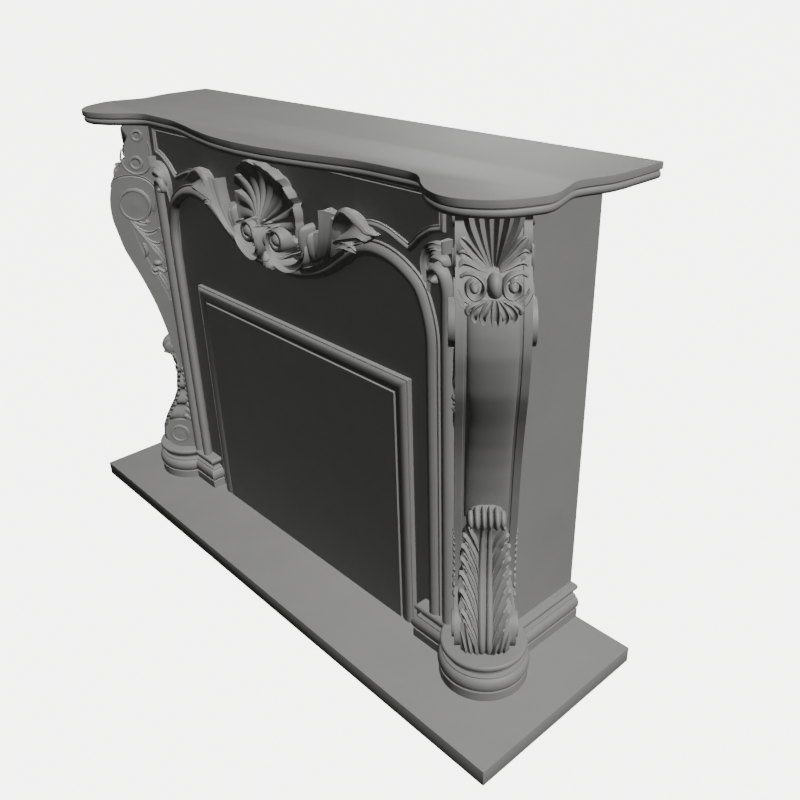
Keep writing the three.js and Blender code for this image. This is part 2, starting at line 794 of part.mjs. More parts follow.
function turnToCorner(mesh, sign) {
  const x = (cornerReach + cornerOffset) / Math.SQRT2;
  const depth = (cornerReach - cornerOffset) / Math.SQRT2;
  mesh.position.set(sign * x, -depth, 0);
  mesh.rotation.z = (sign * Math.PI) / 4;
}

const fireplace = new THREE.Group();
fireplace.add(
  piece('hearth_slab', hearthSlab(), colours.face),
  ...pairOf('plinth', plinthBlock, colours.face),
  ...pairOf('return', returnSlab, colours.face),
  piece('carved_front', carvedFront(), colours.carving),
  piece('tympanum', tympanumBoard(), colours.panel),
  piece('fire_frame', frameMoulding(), colours.face),
  piece('fire_panel', firePanelBoard(), colours.panel),
  ...pairOf('console', consoleBlock, colours.carving, turnToCorner),
  piece('mantel_shelf', mantelShelf(), colours.face),
);
fireplace.position.y = (body.frontDepth + hearth.frontMargin) / 2;

const part = new THREE.Group();
part.add(fireplace);

export default part;
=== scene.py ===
# Carved fireplace: four plain slabs keep the frame's solids, and all else is modelled here in finer form.
import math

import bmesh
import bpy
from mathutils import Matrix, Vector


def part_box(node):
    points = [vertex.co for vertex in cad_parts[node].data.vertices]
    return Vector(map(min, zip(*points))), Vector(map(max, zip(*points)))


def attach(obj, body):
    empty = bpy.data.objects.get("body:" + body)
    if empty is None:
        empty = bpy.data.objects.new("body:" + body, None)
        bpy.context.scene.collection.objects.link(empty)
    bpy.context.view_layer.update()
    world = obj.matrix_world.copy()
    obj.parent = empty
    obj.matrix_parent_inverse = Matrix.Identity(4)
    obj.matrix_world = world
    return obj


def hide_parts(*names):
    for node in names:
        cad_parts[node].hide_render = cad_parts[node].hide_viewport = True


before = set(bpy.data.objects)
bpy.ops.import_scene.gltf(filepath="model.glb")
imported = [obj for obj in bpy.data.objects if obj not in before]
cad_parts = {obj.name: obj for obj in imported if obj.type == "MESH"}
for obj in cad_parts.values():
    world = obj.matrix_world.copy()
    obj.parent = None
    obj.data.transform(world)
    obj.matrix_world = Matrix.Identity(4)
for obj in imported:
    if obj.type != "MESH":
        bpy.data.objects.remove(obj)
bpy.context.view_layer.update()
bpy.ops.object.select_all(action="DESELECT")
print("frame loaded")

# The places that everything is drawn from, in millimetres: across from the middle, up from the
# hearth's underside, and depth in front of the wall.
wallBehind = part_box("hearth_slab")[1][1] * 1000
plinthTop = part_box("plinth_right")[1][2] * 1000
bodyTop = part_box("return_right")[1][2] * 1000
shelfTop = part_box("mantel_shelf")[1][2] * 1000
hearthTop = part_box("hearth_slab")[1][2] * 1000
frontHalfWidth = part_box("return_right")[0][0] * 1000
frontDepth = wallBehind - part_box("return_right")[0][1] * 1000
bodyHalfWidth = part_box("return_right")[1][0] * 1000
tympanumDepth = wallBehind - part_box("tympanum")[0][1] * 1000
cornerReach = (frontHalfWidth + frontDepth) / math.sqrt(2)
cornerOffset = cornerReach - math.sqrt(2) * (frontDepth - (bodyHalfWidth - frontHalfWidth) / 2)
joint = 0.3  # the gap left for mortar between two stones
sink = 2  # how far carving reaches into the stone that it lies on


def onFront(across, up, depth):
    return Vector((across / 1000, (wallBehind - depth) / 1000, up / 1000))


def onFrontLeft(across, up, depth):
    return onFront(-across, up, depth)


def onCorner(across, up, reach):  # across from the right console's middle, up, and out along its diagonal
    along = cornerOffset + across
    return onFront((along + reach) / math.sqrt(2), up, (reach - along) / math.sqrt(2))


def onCornerLeft(across, up, reach):
    place = onCorner(across, up, reach)
    return Vector((-place.x, place.y, place.z))


# Materials

def linear(hexColour):
    channels = [int(hexColour[i:i + 2], 16) / 255 for i in (1, 3, 5)]
    return [c / 12.92 if c <= 0.04045 else ((c + 0.055) / 1.055) ** 2.4 for c in channels] + [1]


def addNode(tree, kind, settings=None, inputs=None):
    node = tree.nodes.new(kind)
    for key, value in (settings or {}).items():
        setattr(node, key, value)
    for key, value in (inputs or {}).items():
        if isinstance(value, bpy.types.NodeSocket):
            tree.links.new(value, node.inputs[key])
        else:
            node.inputs[key].default_value = value
    return node


def perMetre(millimetres):  # noise scale for a pattern with grains of this size
    return 1000 / millimetres


def makeStone(name, look):
    stone = bpy.data.materials.new(name)
    stone.use_nodes = True
    tree = stone.node_tree
    shader = tree.nodes["Principled BSDF"]
    shader.inputs["Roughness"].default_value = look["roughness"]
    shader.inputs["IOR"].default_value = 1.5
    shader.inputs["Specular IOR Level"].default_value = look["specular"]
    where = addNode(tree, "ShaderNodeTexCoord").outputs["Object"]
    clouds = addNode(tree, "ShaderNodeTexNoise", inputs={
        "Vector": where, "Scale": perMetre(look["cloud"]), "Detail": 4, "Roughness": 0.55})
    grains = addNode(tree, "ShaderNodeTexNoise", inputs={
        "Vector": where, "Scale": perMetre(look["grain"]), "Detail": 2, "Roughness": 0.6})
    pits = addNode(tree, "ShaderNodeTexVoronoi", inputs={"Vector": where, "Scale": perMetre(look["pit"])})
    cloudColour = addNode(tree, "ShaderNodeMix", {"data_type": "RGBA"}, {
        "Factor": clouds.outputs["Fac"], "A": linear(look["dark"]), "B": linear(look["light"])})
    grainLevel = addNode(tree, "ShaderNodeMapRange", inputs={
        "Value": grains.outputs["Fac"], "From Min": 0.35, "From Max": 0.65,
        "To Min": 1 - look["speckle"], "To Max": 1 + look["speckle"]})
    colour = addNode(tree, "ShaderNodeVectorMath", {"operation": "SCALE"}, {
        0: cloudColour.outputs["Result"], "Scale": grainLevel.outputs["Result"]})
    tree.links.new(colour.outputs[0], shader.inputs["Base Color"])
    pitDepth = addNode(tree, "ShaderNodeMapRange", inputs={
        "Value": pits.outputs["Distance"], "From Min": 0.0, "From Max": 0.3, "To Min": 0, "To Max": 1})
    height = addNode(tree, "ShaderNodeMath", {"operation": "MULTIPLY_ADD"}, {
        0: grains.outputs["Fac"], 1: 0.7, 2: pitDepth.outputs["Result"]})
    bump = addNode(tree, "ShaderNodeBump", inputs={
        "Height": height.outputs[0], "Strength": look["bump"], "Distance": 0.0004})
    tree.links.new(bump.outputs["Normal"], shader.inputs["Normal"])
    return stone


# Fine even limestone, rubbed matt all over: the carving is a shade lighter and finer in grain.
honedStone = makeStone("honedLimestone", {
    "dark": "#585856", "light": "#5f5f5d", "cloud": 140, "grain": 2.2, "pit": 5, "speckle": 0.035,
    "roughness": 0.62, "specular": 0.3, "bump": 0.18})
carvedStone = makeStone("carvedLimestone", {
    "dark": "#5b5b59", "light": "#636361", "cloud": 110, "grain": 1.8, "pit": 4, "speckle": 0.03,
    "roughness": 0.6, "specular": 0.3, "bump": 0.15})


# Mesh helpers

def smoothLine(knots, perSpan):  # a smooth line through knots of any number of values
    line = []
    for i in range(len(knots) - 1):
        a, b, c, d = (knots[max(min(j, len(knots) - 1), 0)] for j in (i - 1, i, i + 1, i + 2))
        for step in range(perSpan):
            t = step / perSpan
            line.append([0.5 * (2 * q + (r - p) * t + (2 * p - 5 * q + 4 * r - s) * t * t
                                + (3 * q - p - 3 * r + s) * t ** 3) for p, q, r, s in zip(a, b, c, d)])
    return line + [list(knots[-1])]


def sidesOf(line):  # the direction to the right of a line at each point, longer where it turns a corner
    sides = []
    for i, point in enumerate(line):
        here = Vector(point[:2])
        before = Vector(line[max(i - 1, 0)][:2])
        after = Vector(line[min(i + 1, len(line) - 1)][:2])
        goingOut = (after - here if i < len(line) - 1 else here - before).normalized()
        comingIn = (here - before if i else goingOut).normalized()
        along = (comingIn + goingOut).normalized()
        sides.append(Vector((along.y, -along.x)) / max(along.dot(goingOut), 0.4))
    return sides


mergeDistance = 0.000002  # points nearer than this, in metres, are one
endRelief = 0.15  # the share of a rib's relief that is left at its rounded ends


class Carving:  # gathers the vertices and faces of one piece
    def __init__(self, place=onFront):
        self.place = place
        self.vertices = []
        self.faces = []

    def addRings(self, rings):
        start = len(self.vertices)
        count = len(rings[0])
        for ring in rings:
            self.vertices += [self.place(*point) for point in ring]
        for r in range(len(rings) - 1):
            low = start + r * count
            for i in range(count):
                j = (i + 1) % count
                self.faces.append((low + i, low + j, low + count + j, low + count + i))
        last = start + (len(rings) - 1) * count
        self.faces += [tuple(range(start, start + count)), tuple(range(last, last + count))]

    def addRib(self, stations, ground, section="round", perSpan=7, roundEnds=(1, 1)):
        line = smoothLine(stations, perSpan)
        lengths = [0]
        for p, q in zip(line, line[1:]):
            lengths.append(lengths[-1] + math.hypot(q[0] - p[0], q[1] - p[1]))
        rings = []
        for (x, z, halfWidth, relief), side, run in zip(line, sidesOf(line), lengths):
            radius = max(halfWidth, 1)
            cap = endShare(run, radius, roundEnds[0]) * endShare(lengths[-1] - run, radius, roundEnds[1])
            foot = (ground(x, z) if callable(ground) else ground) - sink
            height = (relief + sink) * (endRelief + (1 - endRelief) * cap)
            width = halfWidth * cap
            rings.append([(x + side.x * u * width, z + side.y * u * width, foot + v * height)
                          for u, v in sections[section]])
        self.addRings(rings)

    def addBlade(self, flow, ground, edge, perSpan=6, roundOver=1.2):
        rings = []  # the leaf is drawn through lines that run from its foot to its tips
        for across in zip(*(smoothLine(line, perSpan) for line in flow)):
            rims = []
            for (x, z, relief), (innerX, innerZ, _) in (across[:2], across[:-3:-1]):
                rims.append([(innerX, innerZ, ground - sink), (x, z, ground + max(relief - edge, -1)),
                             (x, z, ground + relief - roundOver)])
            face = [(x, z, ground + relief) for x, z, relief in smoothAcross(across)]
            rings.append(rims[0] + face + rims[1][::-1])
        self.addRings(rings)

    def addEgg(self, x, z, depth, halfWidth, halfHeight, relief, around=28, rows=10):
        levels = [(1, -sink)]
        for row in range(rows + 1):
            angle = math.pi / 2 * row / rows
            levels.append((max(math.cos(angle), 0.02), relief * math.sin(angle)))
        turns = [2 * math.pi * k / around for k in range(around)]
        self.addRings([[(x + halfWidth * size * math.cos(turn), z + halfHeight * size * math.sin(turn),
                         depth + out) for turn in turns] for size, out in levels])

    def join(self, other):
        start = len(self.vertices)
        self.vertices += other.vertices
        self.faces += [tuple(start + i for i in face) for face in other.faces]

    def makeObject(self, name, smoothAngle=38):
        mesh = bpy.data.meshes.new(name)
        mesh.from_pydata(self.vertices, [], self.faces)
        shape = bmesh.new()
        shape.from_mesh(mesh)
        bmesh.ops.remove_doubles(shape, verts=shape.verts, dist=mergeDistance)
        bmesh.ops.dissolve_degenerate(shape, edges=shape.edges, dist=mergeDistance)
        bmesh.ops.recalc_face_normals(shape, faces=shape.faces)
        shape.to_mesh(mesh)
        shape.free()
        piece = bpy.data.objects.new(name, mesh)
        bpy.context.collection.objects.link(piece)
        smoothByAngle(piece, smoothAngle)
        return piece


def smoothAcross(points):  # two more points in every gap, so that flutes and folds are rounded
    return smoothLine([list(point) for point in points], 3)


def endShare(distance, radius, rounding):
    if not rounding or distance >= radius:
        return 1
    return math.sqrt(max(1 - (1 - distance / radius) ** 2, 0.0025))


def halfRound(count):
    return [(math.cos(math.pi * i / count), math.sin(math.pi * i / count)) for i in range(count + 1)]


# Cross-sections of a rib, from its right edge to its left: share of its half-width and of its relief.
sections = {
    "round": halfRound(12),
    "gouge": [(1, 0), (0.97, 0.75), (0.9, 0.96), (0.8, 1), (0.66, 0.86), (0.45, 0.68), (0.2, 0.58),
              (0, 0.55), (-0.2, 0.58), (-0.45, 0.68), (-0.66, 0.86), (-0.8, 1), (-0.9, 0.96), (-0.97, 0.75),
              (-1, 0)],
    "ridge": [(1, 0), (0.96, 0.42), (0.8, 0.5), (0.5, 0.56), (0.25, 0.72), (0.1, 0.94), (0, 1),
              (-0.1, 0.94), (-0.25, 0.72), (-0.5, 0.56), (-0.8, 0.5), (-0.96, 0.42), (-1, 0)],
    "channel": [(1, 0), (0.98, 0.84), (0.88, 1), (0.78, 0.93), (0.7, 0.62), (0, 0.58), (-0.7, 0.62),
                (-0.78, 0.93), (-0.88, 1), (-0.98, 0.84), (-1, 0)],
    "fold": [(1, 0), (0.98, 0.3), (0.62, 0.5), (0.25, 0.82), (0, 1), (-0.25, 0.82), (-0.62, 0.5),
             (-0.98, 0.3), (-1, 0)],
    "leaf": [(1, 0), (0.97, 0.5), (0.88, 0.66), (0.72, 0.62), (0.5, 0.7), (0.25, 0.9), (0.12, 1), (0, 0.97),
             (-0.12, 1), (-0.25, 0.9), (-0.5, 0.7), (-0.72, 0.62), (-0.88, 0.66), (-0.97, 0.5), (-1, 0)],
}


def smoothByAngle(piece, angle):
    bpy.ops.object.select_all(action="DESELECT")
    piece.select_set(True)
    bpy.context.view_layer.objects.active = piece
    bpy.ops.object.shade_smooth_by_angle(angle=math.radians(angle))
    bpy.ops.object.select_all(action="DESELECT")


def finishPiece(piece, stone, *nodes):
    piece.data.materials.clear()
    piece.data.materials.append(stone)
    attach(piece, "root")
    if nodes:
        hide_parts(*nodes)
    print("made", piece.name)


def mirrorStations(stations):
    return [[-x, *rest] for x, *rest in stations]


def addSlab(name, low, high, bevel):  # a plain block with softened edges
    bpy.ops.object.select_all(action="DESELECT")
    centre = (Vector(low) + Vector(high)) / 2
    bpy.ops.mesh.primitive_cube_add(size=1, location=centre, scale=Vector(high) - Vector(low))
    slab = bpy.context.object
    slab.name = name
    bpy.ops.object.transform_apply(location=True, rotation=True, scale=True)
    softenEdges(slab, bevel)
    return slab


def softenEdges(piece, width, segments=2, angle=30):
    bpy.ops.object.select_all(action="DESELECT")
    piece.select_set(True)
    bpy.context.view_layer.objects.active = piece
    soften = piece.modifiers.new("softened edges", "BEVEL")
    soften.width = width / 1000
    soften.segments = segments
    soften.limit_method = "ANGLE"
    soften.angle_limit = math.radians(angle)
    bpy.ops.object.modifier_apply(modifier=soften.name)
    bpy.ops.object.select_all(action="DESELECT")


# Hearth slab: one block with sharp sawn edges, barely softened

hearthLook = {"edge": 0.8}

hearth = addSlab("hearthSlab", *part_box("hearth_slab"), hearthLook["edge"])
smoothByAngle(hearth, 30)
finishPiece(hearth, honedStone, "hearth_slab")

# Mantel shelf: a shaped plan, with a flat edge over a half-round

shelfShape = {
    "plan": [  # shares of half the width and of the depth
        [0, 1], [0.126, 0.986], [0.251, 0.945], [0.376, 0.892], [0.454, 0.867], [0.552, 0.861],
        [0.634, 0.862], [0.68, 0.897], [0.731, 0.976], [0.778, 1.031], [0.834, 1.062], [0.893, 1.043],
        [0.957, 0.954], [0.996, 0.811], [1, 0.727], [0.986, 0.638], [0.97, 0.544], [0.972, 0.484],
        [0.994, 0.355], [1, 0.264]],
    "halfWidth": 797,
    "depth": 417,
    "flatEdge": 14,
    "groove": 4.5,
    "roll": 8.6,
    "rollSetBack": 11.4,
    "rollArc": (130, 140, 11),  # first angle, sweep and steps
}


def shelfOutline(setBack):
    knots = [[x * shelfShape["halfWidth"], y * shelfShape["depth"]] for x, y in shelfShape["plan"]]
    right = smoothLine(knots, 9) + [[shelfShape["halfWidth"], 0]]
    whole = [[-x, y] for x, y in reversed(right)] + right[1:]
    sides = sidesOf(whole)
    outline = [[x + side.x * setBack, y + side.y * setBack] for (x, y), side in zip(whole, sides)]
    outline[0][1] = outline[-1][1] = 0
    return outline


def makeShelf():
    shape = shelfShape
    flat, groove, roll = shape["flatEdge"], shape["groove"], shape["roll"]
    edge = [(0.8, 0), (0.2, 0.3), (0, 0.9), (0, flat - 0.6), (0.5, flat), (groove, flat + 0.4),
            (groove + 0.6, flat + 1.6)]  # how far in, and how far under the top
    fromAngle, sweep, steps = shape["rollArc"]
    for step in range(steps + 1):
        angle = math.radians(fromAngle + step * sweep / steps)
        edge.append((shape["rollSetBack"] + roll * math.cos(angle),
                     shelfTop - bodyTop - roll - roll * math.sin(angle)))
    carving = Carving(lambda x, y, z: onFront(x, z, y))
    carving.addRings([[(x, y, shelfTop - under) for x, y in shelfOutline(setBack)]
                      for setBack, under in edge])
    return carving.makeObject("mantelShelf", 32)


finishPiece(makeShelf(), honedStone, "mantel_shelf")

# Plinths: a moulded block with a round lobe under the console

plinthShape = {
    "innerHalfWidth": frontHalfWidth - 94,
    "lobeOut": 39,
    "lobeRadius": 79.5,
    "lobeSteps": 48,
    "profile": [  # how far out from the wall planes, and height over the hearth
        [23.5, 0], [23.5, 23.4], [22.9, 24.2], [20.8, 24.6], [20.5, 26], [23.2, 28.6], [25.3, 33],
        [26.7, 38], [27, 43], [26.5, 48.5], [24.8, 53], [22, 57], [18.5, 59.6], [16.6, 60.2], [17.4, 61.6],
        [17.3, 63.2], [16, 64.6], [13, 65.2], [9.3, 66.6], [8.3, 69.5], [9.2, 73], [12.2, 77.2], [17, 81],
        [19.8, 84.6], [21, 88.6], [20.9, 92], [19.6, 94.6], [17.2, 96.1], [14.5, 96.6]],
}


def plinthOutline(offset):
    shape = plinthShape
    half = (bodyHalfWidth - frontHalfWidth) / 2
    lobeX = bodyHalfWidth - half + shape["lobeOut"] / math.sqrt(2)
    lobeDepth = frontDepth - half + shape["lobeOut"] / math.sqrt(2)
    reach = shape["lobeRadius"] + offset
    fromAngle = math.pi - math.asin((frontDepth + offset - lobeDepth) / reach)
    toAngle = -math.acos((bodyHalfWidth + offset - lobeX) / reach)
    inner = shape["innerHalfWidth"]
    outline = [(inner + joint, 0), (inner + joint, tympanumDepth + joint),
               (inner - offset, tympanumDepth + joint), (inner - offset, frontDepth + offset)]
    for step in range(shape["lobeSteps"] + 1):
        angle = fromAngle + (toAngle - fromAngle) * step / shape["lobeSteps"]
        outline.append((lobeX + reach * math.cos(angle), lobeDepth + reach * math.sin(angle)))
    return outline + [(bodyHalfWidth + offset, 0)]


def makePlinth(side, place):
    carving = Carving(lambda x, y, z: place(x, z, y))
    carving.addRings([[(x, y, hearthTop + up) for x, y in plinthOutline(out)]
                      for out, up in plinthShape["profile"]])
    return carving.makeObject("plinth" + side, 34)


for side, place in (("Right", onFront), ("Left", onFrontLeft)):
    finishPiece(makePlinth(side, place), honedStone, "plinth_" + side.lower())

# Slabs that keep the frame's solid and are only given their stone

for node in ("return_left", "return_right", "tympanum", "fire_panel"):
    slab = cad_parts[node]
    slab.data.materials.clear()
    slab.data.materials.append(honedStone)
    print("gave its stone to", node)

# Fire frame: a bolection moulding mitred round three sides

frameShape = {
    "width": 42,
    "section": [  # across from its inner edge, and how far out from the tympanum
        [0, 0], [0, 10.6], [0.4, 11], [2, 11.3], [2.6, 12.6], [5, 14.2], [10, 15.8], [16, 17.1], [21, 17.5],
        [26, 17.4], [30, 16.6], [33.5, 14.8], [36, 12], [37.6, 8.8], [38.4, 7.8], [38.9, 8.6], [39.1, 12.4],
        [39.6, 12.8], [41.4, 12.2], [42, 11.4], [42, 0]],
}


def makeFireFrame():
    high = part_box("fire_frame")[1]
    halfWidth = high[0] * 1000 - frameShape["width"]
    top = high[2] * 1000 - frameShape["width"]
    line = [[-halfWidth, hearthTop], [-halfWidth, top], [halfWidth, top], [halfWidth, hearthTop]]
    carving = Carving()
    section = frameShape["section"]
    carving.addRings([[(x - side.x * u, z - side.y * u, tympanumDepth + d) for u, d in section]
                      for (x, z), side in zip(line, sidesOf(line))])
    return carving.makeObject("fireFrame", 30)


finishPiece(makeFireFrame(), honedStone, "fire_frame")

# Carved front: the slab with its arch opening, the arch moulding and the beading round the frieze

frontShape = {
    "slab": 30,
    "archLeg": 518,
    "archLip": 1.5,  # how far the opening is cut inside the arch's line
    "archCurve": [
        [518, 800], [517, 850], [507, 895], [486, 942], [454, 968], [407, 988.5], [352, 995.5],
        [300, 984.5], [250, 956], [205, 926], [165, 906], [130, 894], [80, 882], [31, 878]],
    "archSection": [
        [-1.5, -2], [-1.5, 0], [-6, 2.6], [-11, 6.6], [-15, 11.2], [-17, 16], [-17, 20.5], [-15, 24.8],
        [-11.5, 28], [-7, 29.7], [-3.5, 30], [0, 29.5], [4, 27.6], [7.5, 25], [10, 22.2], [11.4, 20],
        [12, 19.4], [12.8, 20.2], [14, 20.8], [16, 20.9], [17.4, 20.4], [18, 19], [18, 13]],
    "beadingCurve": [
        [300, 1045], [346, 1054], [388, 1050], [420, 1040], [452, 1028], [466, 1040], [478, 1052],
        [497, 1065], [515, 1075], [538, 1081], [538, 1129]],
    "beadingCorners": (4, 9),  # the knots where the beading turns sharply
    "beadingSection": [
        [0, -2], [0, 4.4], [0.5, 5], [2, 5], [2.6, 4.2], [3.4, 3], [4.4, 3.4], [5.6, 5.6], [7.4, 7.6],
        [9.4, 8.2], [11.6, 7.6], [13.6, 5.8], [15, 3], [15.5, 0], [15.5, -2]],
}


def archLine():
    return [[frontShape["archLeg"], plinthTop]] + smoothLine(frontShape["archCurve"], 8)


def openingOutline():
    line = archLine()
    lip = frontShape["archLip"]
    right = [(x - side.x * lip, z - side.y * lip) for (x, z), side in zip(line, sidesOf(line))]
    return [(-x, z) for x, z in right] + right[::-1]


def makeFront():
    shape = frontShape
    carving = Carving()
    outline = [(frontHalfWidth, plinthTop), (frontHalfWidth, bodyTop), (-frontHalfWidth, bodyTop),
               (-frontHalfWidth, plinthTop)] + openingOutline()
    carving.addRings([[(x, z, depth) for x, z in outline]
                      for depth in (frontDepth - shape["slab"], frontDepth)])
    line = archLine()
    for turn in (1, -1):
        carving.addRings([[(turn * (x + side.x * u), z + side.y * u, tympanumDepth + d)
                           for u, d in shape["archSection"]] for (x, z), side in zip(line, sidesOf(line))])
    right = shape["beadingCurve"]
    middle, end = shape["beadingCorners"]
    arc = smoothLine(right[:middle + 1], 5)[:-1] + smoothLine(right[middle:end + 1], 5)[:-1] + right[end:]
    whole = arc + [[-x, z] for x, z in reversed(arc)]
    carving.addRings([[(x + side.x * u, z + side.y * u, frontDepth + d) for u, d in shape["beadingSection"]]
                      for (x, z), side in zip(whole, sidesOf(whole))])
    return carving.makeObject("carvedFront", 34)


finishPiece(makeFront(), carvedStone, "carved_front")

# Spandrel stems: a half-round shaft on each jamb, which curls over into a scroll with a leaf above it

stemShape = {
    "shaft": [[559, plinthTop, 16, 17], [559, 560, 16, 17], [559, 940, 16, 17]],
    "head": [[559, 938, 16, 17], [558.5, 958, 15.5, 18], [555, 980, 14, 20], [547, 994, 12, 22],
             [536, 998, 11, 22], [526, 991, 10, 22], [521, 978, 8, 20], [523, 966, 6, 18]],
    "eye": [534, 974, 9, 10, 24],
    "leaves": [
        ("round", [[563, 1004, 5, 14], [557, 1018, 7, 20], [543, 1022, 7, 22], [530, 1017, 6, 20],
                   [521, 1006, 3, 14]]),
        ("gouge", [[512, 985, 2, 8], [511, 1003, 5, 13], [519, 1022, 5.5, 16], [534, 1032, 5, 18],
                   [553, 1033, 4, 18]]),
        ("gouge", [[498, 958, 2, 5], [494, 985, 4, 8], [497, 1010, 5, 10], [510, 1033, 5.5, 12],
                   [530, 1043, 5.5, 15], [554, 1045, 5, 18]]),
        ("ridge", [[520, 1000, 4, 12], [512, 985, 5, 10], [507, 960, 4, 8], [506, 930, 3, 5],
                   [510, 900, 2, 3]]),
    ],
    "roll": [[564, 1033, 6.5, 22], [565, 1059, 6.5, 24]],
}


def makeStem(side, place):
    carving = Carving(place)
    carving.addRib(stemShape["shaft"], frontDepth, perSpan=3, roundEnds=(0, 0))
    carving.addRib(stemShape["head"], frontDepth, roundEnds=(0, 1))
    x, z, *size = stemShape["eye"]
    carving.addEgg(x, z, frontDepth, *size)
    for section, stations in stemShape["leaves"]:
        carving.addRib(stations, frontDepth, section)
    carving.addRib(stemShape["roll"], frontDepth, perSpan=2, roundEnds=(0, 0))
    return carving.makeObject("spandrelStem" + side)


for side, place in (("Right", onFront), ("Left", onFrontLeft)):
    finishPiece(makeStem(side, place), carvedStone)

# Shell: a scallop that leans forward, with its rim broken into lips

shellShape = {
    "foot": 985,
    "radius": (112, 143),  # at the sides and at the top
    "relief": (33, 60),
    "lobes": 10,
    "stepsPerLobe": 14,
    "lobeSwell": 3,
    "furrow": 11,
    "lowestAngle": -8,
    "dish": [  # share of the radius, how far out, and the share of the rim's relief added to it
        [0.05, 50, 0], [0.15, 46, 0], [0.3, 38, 0], [0.5, 28, 0.04], [0.7, 17, 0.26], [0.86, 7, 0.62],
        [0.95, 1, 0.88], [1, 0, 1]],
    "notches": {"angles": (90, 51, 31.2), "halfAngle": 3.4, "cutIn": 12, "cutBack": 16},
    "rimDepth": 23,
}


def notchAt(angle):
    notches = shellShape["notches"]
    nearest = min(abs(turn - angle) for at in notches["angles"] for turn in (at, 180 - at))
    return max(1 - nearest / notches["halfAngle"], 0) ** 0.6


def addShell(carving):
    shape = shellShape
    notches = shape["notches"]
    dish = smoothLine(shape["dish"], 3)
    around = shape["lobes"] * shape["stepsPerLobe"]
    rings = []
    for i in range(around + 1):
        share = i / around
        degrees = shape["lowestAngle"] + (180 - 2 * shape["lowestAngle"]) * share
        angle = math.radians(degrees)
        upward = max(math.sin(angle), 0)
        lobe = abs(math.sin(math.pi * share * shape["lobes"]))  # round, with a sharp furrow between two
        notch = notchAt(degrees)
        radius = shape["radius"][0] + (shape["radius"][1] - shape["radius"][0]) * upward
        relief = shape["relief"][0] + (shape["relief"][1] - shape["relief"][0]) * upward ** 3
        radius += shape["lobeSwell"] * lobe - notches["cutIn"] * notch
        relief -= notches["cutBack"] * notch
        under = relief - shape["rimDepth"]
        section = [(radius * dish[0][0], -sink)]
        for at, out, rimShare in dish:  # deepest inside, running out towards foot and rim
            furrow = shape["furrow"] * (1 - lobe) * min(2.5 * at, 1) * (1.25 - at)
            section.append((radius * at, out + rimShare * relief - furrow))
        section += [(radius + 1.6, relief - 1), (radius + 2.6, relief - 3.5), (radius + 2.4, under),
                    (radius - 3, under - 3), (radius * 0.84, -sink)]
        rings.append([(reach * math.cos(angle), shape["foot"] + reach * math.sin(angle),
                       frontDepth + max(out, -sink)) for reach, out in section])
    carving.addRings(rings)


